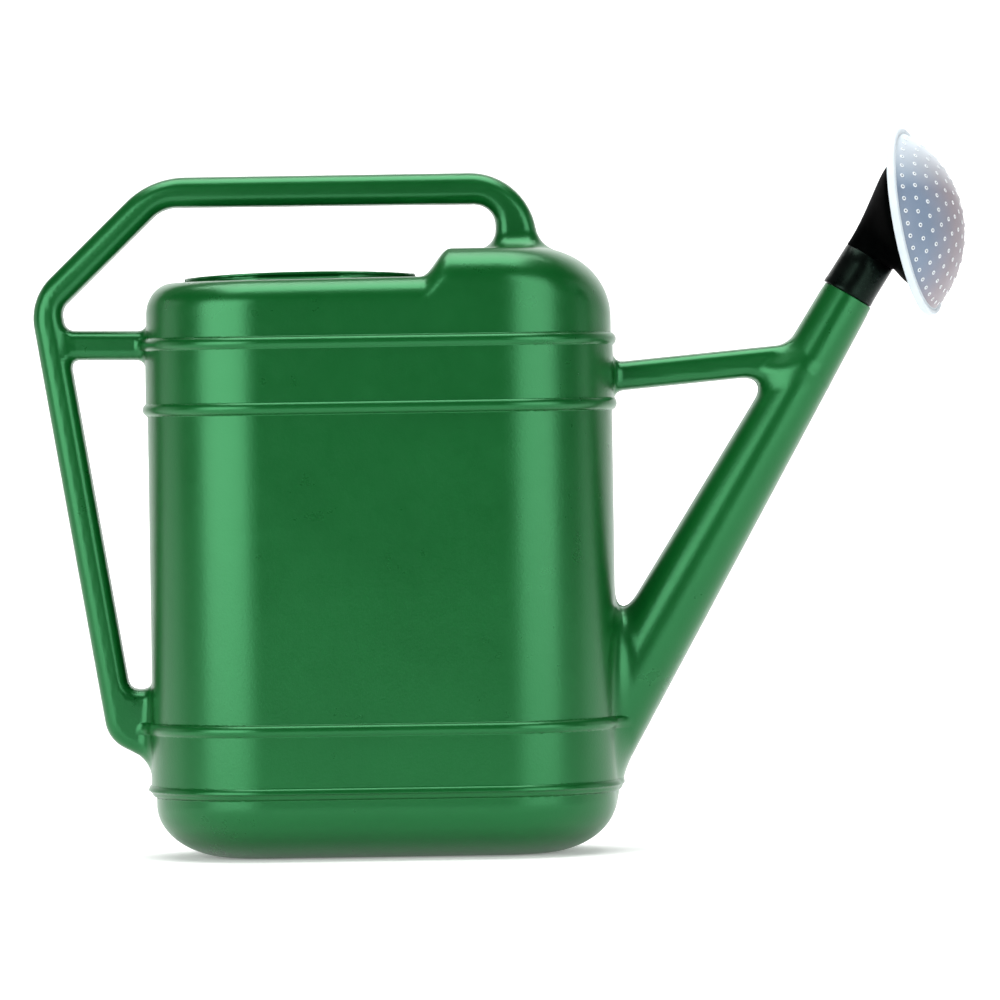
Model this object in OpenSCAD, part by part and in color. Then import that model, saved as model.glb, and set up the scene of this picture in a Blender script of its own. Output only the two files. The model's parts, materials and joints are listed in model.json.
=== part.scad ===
// Blow-moulded watering can with a loop handle and a push-fit rose.
// Origin: centre of the flat base. +X runs towards the spout, +Z is up.

/* [Tank] */
// Length of the tank, along X
tank_l = 278; // [270:1:290]
// Depth of the tank, along Y
tank_d = 158; // [152:1:170]
// Radius of the tank's upright corners, in plan
corner_r = 70; // [66:1:74]
// Wall thickness of the tank
wall = 2.5; // [1.8:0.1:3]
// Height of the low part of the top, round the fill opening
low_top_z = 345.5; // [343:0.5:348]
// Height of the raised part of the top, under the front of the handle
high_top_z = 361.6; // [360:0.2:364]
// Length of the elliptical round-over under the tank, across the wall
base_round_l = 45; // [36:1:50]
// Height of the round-over under the tank
base_round_h = 30; // [24:1:31]

/* [Bands] */
// How far each bead stands out of the wall
bead_out = 2.9; // [1:0.1:3.2]
// Height of each bead
bead_h = 7; // [5:0.5:8]
// How far the belts between two beads stand out of the wall
belt_out = 1.2; // [0.2:0.1:1.2]
// How far the wall steps in below the lowest bead
foot_step = 2.4; // [0.5:0.1:3]

/* [Fill opening] */
// Length of the collar, along X
rim_l = 136.5; // [120:0.5:138]
// Width of the collar, along Y
rim_w = 96; // [80:1:100]
// Thickness of the collar
rim_t = 3; // [2:0.5:4]
// Height of the collar's middle above the low top
rim_h = 3.9; // [3:0.1:6]
// How much lower the two ends of the collar are than its middle
rim_crown = 2.4; // [0.5:0.1:2.6]
// Distance of the collar's centre behind the origin
rim_back = 46.7; // [45:0.1:50]

/* [Handle] */
// Thickness of the handle, seen from the side
grip_t = 17.8; // [16:0.1:18]
// Depth of the handle, along Y
grip_d = 26; // [22:1:30]
// Corner radius of the handle's section
grip_r = 7.5; // [5:0.5:8]
// Wall thickness of the handle and braces
tube_wall = 2.5; // [1.5:0.1:3]
// Height of the top of the grip
grip_top_z = 407.5; // [405:0.5:412]
// Angle of the sloping rear part below the horizontal
slope_angle = 44.1; // [43:0.1:46]
// Lean of the rear leg from the vertical
leg_lean = 9.3; // [8.5:0.1:10]
// Thickness of the strut from the rear leg to the tank
strut_t = 16.5; // [14:0.5:18]
// Depth of the rear strut, along Y
strut_d = 22; // [16:1:24]

/* [Spout] */
// Angle of the spout above the horizontal
spout_angle = 59.5; // [59:0.1:60]
// Outer radius of the spout at its shoulder, under the rose
spout_tip_r = 15.4; // [14.5:0.1:15.5]
// Half angle of the spout's taper
spout_taper = 1.5; // [1:0.1:1.8]
// Wall thickness of the spout
spout_wall = 2.2; // [1.5:0.1:2.5]
// Outer radius of the spigot that the rose pushes on to
spigot_r = 13.6; // [13:0.1:14]
// Length of the spigot
spigot_l = 24; // [18:1:25]
// Thickness of the brace from the spout to the tank
brace_t = 16.3; // [14:0.1:18]
// Depth of the brace, along Y
brace_d = 17; // [14:1:20]

/* [Rose] */
// Length of the rose's sleeve
sleeve_l = 26.4; // [26:0.1:30]
// Wall thickness of the sleeve
sleeve_wall = 2.05; // [1.5:0.05:2.5]
// Radial running clearance between the sleeve and the spigot
sleeve_gap = 0.05; // [0.02:0.01:0.1]
// Tilt of the rose's face from the spout's axis
face_tilt = 51.7; // [45:0.1:55]
// Swivel of the rose about the spout at rest, towards -Y
rose_swivel = 18.9; // [0:0.1:25]
// Diameter of the face's flange
flange_dia = 113.7; // [112:0.1:116]
// Thickness of the flange
flange_t = 4.9; // [4:0.1:6]
// Radius of the domed part, where it leaves the flange
dome_r = 53; // [51.5:0.5:54]
// Height of the dome above the flange
dome_h = 25.7; // [22:0.1:27]
// Thickness of the dome
dome_wall = 2; // [1.5:0.1:2.5]
// Number of rings of spray holes round the centre of the face
rose_rings = 7; // [3:1:7]
// Diameter of a spray hole
spray_dia = 1.6; // [1.2:0.1:2]

/* [Hidden] */

green = [0.04, 0.36, 0.14];
dark_green = [0.03, 0.30, 0.11];
black = [0.02, 0.02, 0.02];
pale = [0.80, 0.85, 0.88];
eps = 0.01;

// Heights of the bead centres, and of the two planes at which the tank is divided into sections.
bead_z = [40.5, 77.5, 268.5, 307];
base_split_z = 33;
shoulder_split_z = 314;
// Plan position of the axes of the upright corners.
corner_x = tank_l / 2 - corner_r;
corner_y = tank_d / 2 - corner_r;

// Shoulder: round-overs as [across the wall, height].
low_round = [22, 24];
high_round = [22, 22];
end_round = [52, 47.5];
// The slope between the two levels of the top, along X.
rise_x = [28, 45.4];

// Handle: lines of its centre, as a point and a direction in the XZ plane.
grip_z = grip_top_z - grip_t / 2;
slope_point = [-154.3, 376.9];
slope_dir = 180 + slope_angle;
leg_point = [-178.3, 202.6];
leg_dir = 270 + leg_lean;
top_bend_r = 34;
rear_bend_r = 21;
front_leg_x = [71.3, 95.4];
front_bend_r = [13, 36];
front_fillet = [12, 9.5];
foot_top_z = 122;
foot_low_z = 57.5;
foot_dir = -28;
foot_bend_r = 17;
foot_crotch_z = 101;

// Braces: centre height at the tank and slope.
strut_z = 307.2;
strut_slope = -0.9;
brace_point = [148.6, 284.9];
brace_slope = 5;

// Spout: the centre of the shoulder under the rose.
spout_tip = [282, 331];
spout_l = 325;
sleeve_bore_r = spigot_r + sleeve_gap;
sleeve_r = sleeve_bore_r + sleeve_wall;
spigot_bore_r = spigot_r - spout_wall;

// Rose: centre of the flange in the rose's own frame, where z runs along the spout.
face_x = 13.9;
face_z = 57.95;
part_gap = 0.3;
funnel_wall = 2;
mouth_r = 39.5;
mouth_h = 3.5;
skirt_wall = 1.6;
skirt_h = 2.4;
back_plate = 2;
dome_ball_r = (dome_r * dome_r + dome_h * dome_h) / (2 * dome_h);

// Points of an arc, as [x, y] pairs.
function arc(centre, r, from, to, steps) =
    [for (i = [0:steps]) let (a = from + (to - from) * i / steps) centre + r * [cos(a), sin(a)]];

// Points of an elliptical arc with radii [rx, ry].
function oval_arc(centre, radii, from, to, steps) =
    [for (i = [0:steps]) let (a = from + (to - from) * i / steps)
        centre + [radii.x * cos(a), radii.y * sin(a)]];

// Where the line through p in direction a meets the line through q in direction b.
function meeting(p, a, q, b) =
    let (t = ((q.x - p.x) * sin(b) - (q.y - p.y) * cos(b)) / sin(b - a))
    p + t * [cos(a), sin(a)];

// ---- Tank -------------------------------------------------------------------------------------

// Outline of one bead, as [distance from the corner axis, height], between two wall levels.
function bead(z, below, above) = concat(
    [[corner_r + below, z - bead_h / 2]],
    oval_arc([corner_r, z], [bead_out, bead_h / 2], -55, 55, 6),
    [[corner_r + above, z + bead_h / 2]]);

wall_line = concat(
    [[corner_r - foot_step, base_split_z]],
    bead(bead_z[0], -foot_step, belt_out), bead(bead_z[1], belt_out, 0),
    bead(bead_z[2], 0, belt_out), bead(bead_z[3], belt_out, 0),
    [[corner_r, shoulder_split_z]]);

// Outline of a rounded edge of a solid, drawn in by inset, from height z0 up to the top.
function edge_line(z0, top, round_over, inset) = concat(
    [[0, z0], [corner_r - inset, z0]],
    oval_arc([corner_r - round_over.x, top - round_over.y],
             [round_over.x - inset, round_over.y - inset], 0, 90, 8),
    [[0, top - inset]]);

// An outline carried round the tank's plan: x is the distance out from the corner axes, y is height.
module round_the_tank(outline) {
    for (i = [0:3])
        translate([[1, -1, -1, 1][i] * corner_x, [1, 1, -1, -1][i] * corner_y, 0])
            rotate([0, 0, 90 * i]) rotate_extrude(angle = 90, $fn = 96) polygon(outline);
    for (turn = [0, 180]) rotate([0, 0, turn]) translate([corner_x, corner_y, 0])
        rotate([90, 0, 0]) linear_extrude(2 * corner_y) polygon(outline);
    for (turn = [90, 270]) rotate([0, 0, turn]) translate([corner_y, corner_x, 0])
        rotate([90, 0, 0]) linear_extrude(2 * corner_x) polygon(outline);
}

module centre_block(z0, z1) {
    translate([-corner_x, -corner_y, z0]) cube([2 * corner_x, 2 * corner_y, z1 - z0]);
}

module tank_base() {
    outer_r = corner_r - foot_step;
    centre = [outer_r - base_round_l, base_round_h];
    radii = [base_round_l, base_round_h];
    inner = [radii.x - wall, radii.y - wall];
    color(green) {
        round_the_tank(concat(
            [[0, wall], [0, 0]], oval_arc(centre, radii, -90, 0, 10), [[outer_r, base_split_z]],
            [[outer_r - wall, base_split_z]], oval_arc(centre, inner, 0, -90, 10)));
        centre_block(0, wall);
    }
}

module tank_wall() {
    color(green) difference() {
        round_the_tank(concat(wall_line, [
            [corner_r - wall, shoulder_split_z], [corner_r - wall, bead_z[0]],
            [corner_r - foot_step - wall, base_split_z]]));
        spout_cone(spout_wall);
    }
}

// The tank as a solid block, to cut what lands on it.
module tank_block() {
    block_top = high_top_z - end_round.y;
    round_the_tank(concat(wall_line, [[corner_r, block_top], [0, block_top], [0, base_split_z]]));
    centre_block(base_split_z, block_top);
}

// Side outline of the raised part of the top, from the slope to the front end. The slope runs on
// down below the low top, so that it also meets the rounded edges of the sides.
function raised_outline(inset) = concat(
    [[rise_x[0] - low_round.x / 2 + inset, low_top_z - low_round.y - inset]],
    [for (i = [0:8]) [rise_x[0] + inset + (rise_x[1] - rise_x[0]) * i / 8,
        low_top_z - inset + (high_top_z - low_top_z) * (1 - cos(180 * i / 8)) / 2]],
    oval_arc([tank_l / 2 - end_round.x, high_top_z - end_round.y],
             [end_round.x - inset, end_round.y - inset], 90, 0, 10),
    [[tank_l / 2 - inset, shoulder_split_z - 2 * inset],
     [rise_x[0] - low_round.x / 2 + inset, shoulder_split_z - 2 * inset]]);

module shoulder_block(inset) {
    z0 = shoulder_split_z - 2 * inset;
    intersection() {
        union() {
            round_the_tank(edge_line(z0, low_top_z, low_round, inset));
            centre_block(z0, low_top_z - inset);
        }
        translate([-tank_l, -tank_d, 0]) cube([tank_l + rise_x[1], 2 * tank_d, 2 * high_top_z]);
    }
    intersection() {
        union() {
            round_the_tank(edge_line(z0, high_top_z, high_round, inset));
            centre_block(z0, high_top_z - inset);
        }
        translate([0, tank_d, 0]) rotate([90, 0, 0])
            linear_extrude(2 * tank_d) polygon(raised_outline(inset));
    }
}

// A flat oval: a rectangle with two half-round ends.
module flat_oval(length, width) {
    run = (length - width) / 2;
    polygon(concat(arc([run, 0], width / 2, -90, 90, 24), arc([-run, 0], width / 2, 90, 270, 24)));
}

module tank_shoulder() {
    color(green) difference() {
        shoulder_block(0);
        shoulder_block(wall);
        translate([-rim_back, 0, low_top_z - 3 * wall])
            linear_extrude(6 * wall) flat_oval(rim_l, rim_w);
    }
}

module fill_rim() {
    crown_r = rim_l * rim_l / (8 * rim_crown);
    rim_top = low_top_z + rim_h;
    color(dark_green) translate([-rim_back, 0, 0]) intersection() {
        translate([0, 0, low_top_z - wall]) linear_extrude(wall + 2 * rim_h) difference() {
            flat_oval(rim_l, rim_w);
            flat_oval(rim_l - 2 * rim_t, rim_w - 2 * rim_t);
        }
        translate([0, rim_w, rim_top - crown_r]) rotate([90, 0, 0])
            cylinder(h = 2 * rim_w, r = crown_r, $fn = 360);
    }
}

// ---- Handle -----------------------------------------------------------------------------------

corner_steps = 4;

// Points of a rounded rectangle w by d, drawn in by inset.
function rounded_section(w, d, r, inset) =
    let (cr = min(r, w / 2 - 0.2, d / 2 - 0.2))
    [for (q = [0:3], p = arc([[1, -1, -1, 1][q] * (w / 2 - cr), [1, 1, -1, -1][q] * (d / 2 - cr)],
                             cr - inset, 90 * q, 90 * q + 90, corner_steps)) p];

// One ring in the XZ plane's depth, between an outer point and an inner point of the side view.
function ring(outer, inner, d, r, inset) =
    let (mid = (outer + inner) / 2, span = norm(outer - inner), u = (outer - inner) / span)
    [for (p = rounded_section(span, d, r, inset)) [mid.x + u.x * p.x, p.y, mid.y + u.y * p.x]];

// A hollow tube between two rails of equal length; depths gives its depth at each rail point.
module railed_tube(outer, inner, depths, r, t) {
    rings = len(outer);
    n = 4 * (corner_steps + 1);
    skins = [for (inset = [0, t], i = [0:rings - 1]) each ring(outer[i], inner[i], depths[i], r, inset)];
    inside = rings * n;
    last = (rings - 1) * n;
    faces = concat(
        [for (i = [0:rings - 2], k = [0:n - 1]) let (a = i * n, b = a + n, m = (k + 1) % n)
            [a + k, b + k, b + m, a + m]],
        [for (i = [0:rings - 2], k = [0:n - 1]) let (a = inside + i * n, b = a + n, m = (k + 1) % n)
            [a + m, b + m, b + k, a + k]],
        [for (k = [0:n - 1]) let (m = (k + 1) % n) [m, inside + m, inside + k, k]],
        [for (k = [0:n - 1]) let (m = (k + 1) % n)
            [last + k, inside + last + k, inside + last + m, last + m]]);
    polyhedron(points = skins, faces = faces, convexity = 6);
}

// Rails of a line of centre points: each is [point, direction, thickness].
function left_rail(stations) =
    [for (s = stations) s[0] + s[2] / 2 * [cos(s[1] + 90), sin(s[1] + 90)]];
function right_rail(stations) =
    [for (s = stations) s[0] - s[2] / 2 * [cos(s[1] + 90), sin(s[1] + 90)]];

module tube_along(stations, d, r) {
    railed_tube(right_rail(stations), left_rail(stations), [for (s = stations) d], r, tube_wall);
}

// Stations round a bend to the left of radius r, at the corner where two lines meet.
function bend(corner, from, to, r, t, steps) =
    let (reach = r * tan((to - from) / 2),
         centre = corner - reach * [cos(from), sin(from)] + r * [cos(from + 90), sin(from + 90)])
    [for (i = [0:steps]) let (a = from + (to - from) * i / steps)
        [centre + r * [cos(a - 90), sin(a - 90)], a, t]];

top_corner = meeting([0, grip_z], 180, slope_point, slope_dir);
rear_corner = meeting(slope_point, slope_dir, leg_point, leg_dir);
top_bend = bend(top_corner, 180, slope_dir, top_bend_r, grip_t, 6);
rear_bend = bend(rear_corner, slope_dir, leg_dir, rear_bend_r, grip_t, 7);
grip_front_x = front_leg_x[0] - front_bend_r[0];

module handle_front_leg() {
    steps = 5;
    flare = [for (i = [0:steps]) 1 - sin(90 * i / steps)];
    outer = concat(
        [[front_leg_x[1] + front_fillet[1] + 1, high_top_z - 4]],
        arc([front_leg_x[1] + front_fillet[1], high_top_z + front_fillet[1]], front_fillet[1],
            262, 180, steps),
        arc([front_leg_x[1] - front_bend_r[1], grip_top_z - front_bend_r[1]], front_bend_r[1],
            0, 90, 8),
        [[grip_front_x, grip_top_z]]);
    inner = concat(
        [[front_leg_x[0] - front_fillet[0], high_top_z - 4]],
        arc([front_leg_x[0] - front_fillet[0], high_top_z + front_fillet[0]], front_fillet[0],
            -90, 0, steps),
        arc([grip_front_x, grip_top_z - grip_t - front_bend_r[0]], front_bend_r[0], 0, 90, 9));
    depths = concat([grip_d + 2 * front_fillet[1]],
                    [for (f = flare) grip_d + 2 * front_fillet[1] * f], [for (i = [0:9]) grip_d]);
    color(green) difference() {
        railed_tube(outer, inner, depths, grip_r, tube_wall);
        translate([0, tank_d, 0]) rotate([90, 0, 0])
            linear_extrude(2 * tank_d) polygon(raised_outline(0));
    }
}

module handle_grip() {
    color(green) tube_along([[[grip_front_x, grip_z], 180, grip_t], top_bend[0]], grip_d, grip_r);
}

module handle_rear_slope() {
    color(green) tube_along(concat(top_bend, rear_bend), grip_d, grip_r);
}

leg_end = meeting([0, foot_top_z], 0, leg_point, leg_dir);

module handle_rear_leg() {
    color(green) tube_along([rear_bend[len(rear_bend) - 1], [leg_end, leg_dir, grip_t]],
                            grip_d, grip_r);
}

module handle_foot() {
    steps = 8;
    across = grip_t / 2 * [cos(leg_dir + 90), sin(leg_dir + 90)];
    wall_x = -tank_l / 2;
    inside_x = wall_x + 6;
    low_point = [wall_x, foot_low_z];
    corner = meeting(leg_point - across, leg_dir, low_point, foot_dir);
    bend_in = bend(corner, leg_dir, 360 + foot_dir, foot_bend_r, 0, steps);
    outer = concat([leg_end - across], [for (s = bend_in) s[0]],
                   [low_point + (inside_x - wall_x) * [1, tan(foot_dir)]]);
    crotch_r = (wall_x - meeting(leg_point + across, leg_dir, [0, foot_crotch_z], 0).x) / 2;
    inner = concat([leg_end + across],
                   arc([wall_x - crotch_r, foot_crotch_z + crotch_r * 0.4], crotch_r, 185, 270, steps),
                   [[inside_x, foot_crotch_z - crotch_r * 0.6]]);
    depths = [for (p = outer) grip_d];
    color(green) difference() {
        railed_tube(outer, inner, depths, grip_r, tube_wall);
        tank_block();
    }
}

module rear_strut() {
    across = grip_t / 2 * [cos(leg_dir + 90), sin(leg_dir + 90)];
    dir = strut_slope;
    from = meeting(leg_point + across, leg_dir, [-tank_l / 2, strut_z], dir);
    half = strut_t / 2 * [-sin(dir), cos(dir)];
    high = [meeting(leg_point + across, leg_dir, from + half, dir), [-tank_l / 2, strut_z] + half
            + [6, 0]];
    low = [meeting(leg_point + across, leg_dir, from - half, dir), [-tank_l / 2, strut_z] - half
           + [6, 0]];
    color(green) difference() {
        railed_tube(low, high, [strut_d, strut_d], 6, tube_wall);
        tank_block();
        // Its top edge lands above the wall section, on the upright end of the shoulder.
        translate([-tank_l / 2, -strut_d, base_split_z]) cube([corner_r, 2 * strut_d, high_top_z]);
    }
}

// ---- Spout ------------------------------------------------------------------------------------

// The frame of the spout: its origin is the shoulder under the rose, and z runs up the spout.
module on_spout() {
    translate([spout_tip.x, 0, spout_tip.y]) rotate([0, 90 - spout_angle, 0]) children();
}

// The tapered outside of the spout, drawn in by inset and carried on into the tank.
module spout_cone(inset) {
    on_spout() translate([0, 0, -spout_l])
        cylinder(h = spout_l, r1 = spout_tip_r - inset + spout_l * tan(spout_taper),
                 r2 = spout_tip_r - inset, $fn = 96);
}

module spout() {
    neck_h = 6;
    color(green) difference() {
        union() {
            spout_cone(0);
            on_spout() translate([0, 0, -eps]) cylinder(h = spigot_l + eps, r = spigot_r, $fn = 96);
        }
        on_spout() translate([0, 0, -spout_l - eps])
            cylinder(h = spout_l - neck_h + eps, $fn = 96,
                     r1 = spout_tip_r - spout_wall + spout_l * tan(spout_taper),
                     r2 = spout_tip_r - spout_wall + neck_h * tan(spout_taper));
        on_spout() translate([0, 0, -neck_h - eps])
            cylinder(h = spigot_l + 2 * neck_h, r = spigot_bore_r, $fn = 96);
        translate([-tank_l / 2, -tank_d / 2, -tank_l]) cube([tank_l, tank_d, 2 * tank_l]);
        tank_block();
    }
}

module spout_brace() {
    dir = brace_slope;
    half = brace_t / 2 * [-sin(dir), cos(dir)];
    reach = 128;
    start = brace_point + (tank_l / 2 - 6 - brace_point.x) * [1, tan(dir)];
    stop = start + reach * [cos(dir), sin(dir)];
    color(green) difference() {
        railed_tube([start - half, stop - half], [start + half, stop + half],
                    [brace_d, brace_d], 6, tube_wall);
        tank_block();
        spout_cone(0);
    }
}

// ---- Rose -------------------------------------------------------------------------------------

module on_rose() {
    on_spout() rotate([0, 0, -rose_swivel]) children();
}

// The frame of the face: its origin is the centre of the flange, and z is the spray direction.
module on_face() {
    on_rose() translate([face_x, 0, face_z]) rotate([0, face_tilt, 0]) children();
}

module rose_sleeve() {
    color(black) on_rose() difference() {
        translate([0, 0, part_gap]) cylinder(h = sleeve_l - 2 * part_gap, r = sleeve_r, $fn = 96);
        translate([0, 0, -1]) cylinder(h = sleeve_l + 2, r = sleeve_bore_r, $fn = 96);
    }
}

// Points of a circle on the spout's axis, and of one on the face's axis, in the rose's own frame.
circle_steps = 48;
function rose_circle(r, z) =
    [for (k = [0:circle_steps - 1]) let (a = 360 * k / circle_steps) [r * cos(a), r * sin(a), z]];
function face_circle(r, z) =
    [for (p = rose_circle(r, z)) [face_x + p.x * cos(face_tilt) + z * sin(face_tilt), p.y,
                                  face_z - p.x * sin(face_tilt) + z * cos(face_tilt)]];

// Rings between two circles: straight along the underside, and rising first along the tall side.
function swept(from, to, steps) =
    [for (i = [1:steps - 1]) let (t = i / steps)
        [for (k = [0:circle_steps - 1])
            let (tall = (1 - cos(360 * k / circle_steps)) / 2,
                 mid = (1 - tall) * (from[k] + to[k]) / 2 + tall * (from[k] + [-1, 0, 24]))
            (1 - t) * (1 - t) * from[k] + 2 * t * (1 - t) * mid + t * t * to[k]]];

module rose_funnel() {
    n = circle_steps;
    mouth_z = -flange_t / 2 - part_gap;
    bore_r = sleeve_r - funnel_wall - 1;
    outer = [rose_circle(sleeve_r, sleeve_l), face_circle(mouth_r, mouth_z - mouth_h)];
    inner = [face_circle(mouth_r - funnel_wall, mouth_z - mouth_h),
             rose_circle(sleeve_r - funnel_wall, sleeve_l + funnel_wall)];
    loop = concat([outer[0]], swept(outer[0], outer[1], 7), [outer[1], face_circle(mouth_r, mouth_z)],
                  [face_circle(mouth_r - funnel_wall, mouth_z), inner[0]],
                  [for (i = [5:-1:0]) swept(inner[1], inner[0], 7)[i]], [inner[1]],
                  [rose_circle(bore_r, sleeve_l + funnel_wall), rose_circle(bore_r, sleeve_l)]);
    rings = len(loop);
    faces = [for (i = [0:rings - 1], k = [0:n - 1])
        let (a = i * n, b = (i + 1) % rings * n, m = (k + 1) % n)
        each [[a + k, b + k, b + m], [a + k, b + m, a + m]]];
    color(black) on_rose() polyhedron(points = [for (ring = loop) each ring], faces = faces,
                                      convexity = 6);
}

// Polar angle of each ring of spray holes on the dome's ball, and how many holes go round it.
function spray_angle(k) = 4.7 + 7.3 * k;
spray_counts = [4, 10, 15, 21, 27, 34, 42];

flange_half = flange_t / 2;
skirt_r = mouth_r - funnel_wall - part_gap;
ball_z = flange_half + dome_h - dome_ball_r;

// The flat flange round the dome, with the skirt that clips into the funnel's mouth.
module rose_rim() {
    color(pale) on_face() difference() {
        union() {
            translate([0, 0, -flange_half]) cylinder(h = flange_t, d = flange_dia, $fn = 120);
            translate([0, 0, -flange_half - skirt_h])
                cylinder(h = skirt_h + flange_half, r = skirt_r, $fn = 120);
        }
        translate([0, 0, -flange_half - skirt_h - 1])
            cylinder(h = skirt_h + flange_t + 2, r = skirt_r - skirt_wall, $fn = 120);
        translate([0, 0, back_plate - flange_half])
            cylinder(h = flange_t, r = dome_r - dome_wall, $fn = 120);
    }
}

module rose_face() {
    color(pale) on_face() difference() {
        intersection() {
            translate([0, 0, ball_z]) sphere(r = dome_ball_r, $fn = 120);
            translate([0, 0, flange_half]) cylinder(h = dome_ball_r, r = dome_r + 2, $fn = 120);
        }
        translate([0, 0, ball_z]) sphere(r = dome_ball_r - dome_wall, $fn = 120);
        translate([0, 0, ball_z]) for (k = [0:rose_rings - 1], i = [0:spray_counts[k] - 1])
            rotate([0, spray_angle(k), 360 * i / spray_counts[k]])
                translate([0, 0, dome_ball_r - 2 * dome_wall])
                    cylinder(h = 3 * dome_wall, d = spray_dia, $fn = 24);
    }
}

tank_base();
tank_wall();
tank_shoulder();
fill_rim();
handle_front_leg();
handle_grip();
handle_rear_slope();
handle_rear_leg();
handle_foot();
rear_strut();
spout();
spout_brace();
rose_sleeve();
rose_funnel();
rose_rim();
rose_face();
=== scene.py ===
"""A green blow-moulded watering can with a loop handle and a push-fit rose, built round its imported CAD.

Lengths in the shape functions are millimetres in the CAD's own frame: the origin is the centre of the
flat base, +X runs towards the spout and +Z is up. Meshes are scaled to metres as they are made.
"""

import json
import math

import bmesh
import bpy
import numpy as np
from mathutils import Matrix, Vector


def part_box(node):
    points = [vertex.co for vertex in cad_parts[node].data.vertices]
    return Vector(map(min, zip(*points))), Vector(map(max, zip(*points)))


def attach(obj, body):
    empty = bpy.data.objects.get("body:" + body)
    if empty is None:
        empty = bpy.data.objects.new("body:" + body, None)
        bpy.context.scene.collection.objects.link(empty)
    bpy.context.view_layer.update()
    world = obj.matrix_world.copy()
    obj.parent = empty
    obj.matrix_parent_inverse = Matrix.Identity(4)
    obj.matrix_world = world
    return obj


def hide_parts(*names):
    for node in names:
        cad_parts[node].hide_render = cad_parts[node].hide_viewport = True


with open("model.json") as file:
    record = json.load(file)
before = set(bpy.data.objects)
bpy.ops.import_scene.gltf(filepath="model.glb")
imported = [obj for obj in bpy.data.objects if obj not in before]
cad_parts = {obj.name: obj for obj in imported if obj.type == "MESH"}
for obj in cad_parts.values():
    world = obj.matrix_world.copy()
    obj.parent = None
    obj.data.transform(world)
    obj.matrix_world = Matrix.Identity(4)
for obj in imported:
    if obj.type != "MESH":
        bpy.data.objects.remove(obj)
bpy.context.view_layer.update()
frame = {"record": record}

MM = 0.001


# ---- Named sizes ---------------------------------------------------------------------------------

def node_box(node):
    """Lowest and highest corner of a CAD node, in millimetres."""
    low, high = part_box(node)
    return np.array(low) / MM, np.array(high) / MM


WALL_BOX = node_box("tank_wall")
BEAD_OUT = 2.9
HALF_L = (WALL_BOX[1][0] - WALL_BOX[0][0]) / 2 - BEAD_OUT
HALF_D = (WALL_BOX[1][1] - WALL_BOX[0][1]) / 2 - BEAD_OUT
CORNER_R = 70.0
CORNER_X = HALF_L - CORNER_R
CORNER_Y = HALF_D - CORNER_R
WALL = 2.5
LOW_TOP = 345.1
LOW_TOP_FALL = 0.006
HIGH_TOP = 361.6
RISE = (26.0, 44.3)
BASE_ROUND = (46.0, 32.0)
LOW_END_ROUND = (16.5, 18.5)
HIGH_END_ROUND = (43.2, 41.4)
LOW_SIDE_ROUND = (15.0, 15.0)
HIGH_SIDE_ROUND = (21.0, 21.0)
BEADS = (40.5, 77.5, 268.5, 307.0)
BEAD_HALF = 3.9
BELT_OUT = 1.0
BELT_EDGE = 1.5
FOOT_STEP = 1.9
FRONT_FOOT_STEP = 0.6
FRONT_FOOT_TOP = (37.0, 42.0)
RECESS_H = 1.3
RECESS_EDGE = (50.0, 56.0)

RIM_X = -46.7
RIM_RUN = 20.25
RIM_R = 48.0
RIM_T = 3.0
RIM_TOP = 349.4
RIM_CROWN = 2.0
COLLAR_FOOT_Z = 335.0
FILL_HOLE = (330.0, 356.0)
RIM_PEAK_X = -38.0

GRIP_HALF = 8.9
GRIP_DEPTH = 26.0
GRIP_R = 7.5

SPOUT_TIP = (282.0, 331.0)
SPOUT_ANGLE = math.radians(59.5)
SPOUT_R = 15.45
SPOUT_TAPER = math.radians(1.535)
SPOUT_WALL = 2.2
SPOUT_START = (122.0, 20.0)
SPOUT_BORE_X = 118.0
SPIGOT_R = 13.6
SPIGOT_L = 24.0

PARTING_LINE_H, PARTING_LINE_HALF = 0.3, 0.9


# ---- Shape functions: below zero inside the plastic, in millimetres -------------------------------

def ease(x, low, high):
    """0 below low, 1 above high, and a smooth step between them."""
    t = np.clip((x - low) / (high - low), 0, 1)
    return t * t * (3 - 2 * t)


def mix(a, b, t):
    return a + (b - a) * t


def union_round(a, b, r):
    """The union of two shapes with a fillet where they meet."""
    return np.maximum(r, np.minimum(a, b)) - np.hypot(np.maximum(r - a, 0), np.maximum(r - b, 0))


def rounded_edge(side, top, a, b):
    """A wall and a top joined by an elliptical edge, a across the wall and b down it."""
    u = np.maximum(side + a, 0) / a
    v = np.maximum(top + b, 0) / b
    rho = np.hypot(u, v)
    scale = rho / np.maximum(np.hypot(u / a, v / b), 1e-9)
    return np.where(rho > 1e-9, (rho - 1) * scale, -np.minimum(a, b))


def extruded(outline, across, half, r):
    """An outline's distance carried to half each way across it, with rounded edges."""
    q1, q2 = outline + r, np.abs(across) - half + r
    return np.hypot(np.maximum(q1, 0), np.maximum(q2, 0)) + np.minimum(np.maximum(q1, q2), 0) - r


def convex_outline(x, z, corners, radii):
    """Distance to a convex outline with an arc of its own radius at each corner, anticlockwise."""
    n = len(corners)
    sides = []
    for i in range(n):
        (ax, az), (bx, bz) = corners[i], corners[(i + 1) % n]
        length = math.hypot(bx - ax, bz - az)
        nx, nz = (bz - az) / length, -(bx - ax) / length
        sides.append((nx, nz, nx * ax + nz * az))
    planes = [nx * x + nz * z - d for nx, nz, d in sides]
    f = planes[0]
    for p in planes[1:]:
        f = np.maximum(f, p)
    for i in range(n):
        if radii[i]:
            (ax, az, ad), (bx, bz, bd) = sides[i - 1], sides[i]
            turn = ax * bz - az * bx
            ea, eb = ad - radii[i], bd - radii[i]
            cx, cz = (ea * bz - eb * az) / turn, (ax * eb - bx * ea) / turn
            px, pz = x - cx, z - cz
            sector = (ax * pz - az * px > 0) & (px * bz - pz * bx > 0)
            f = np.where(sector, np.hypot(px, pz) - radii[i], f)
    return f


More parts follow.
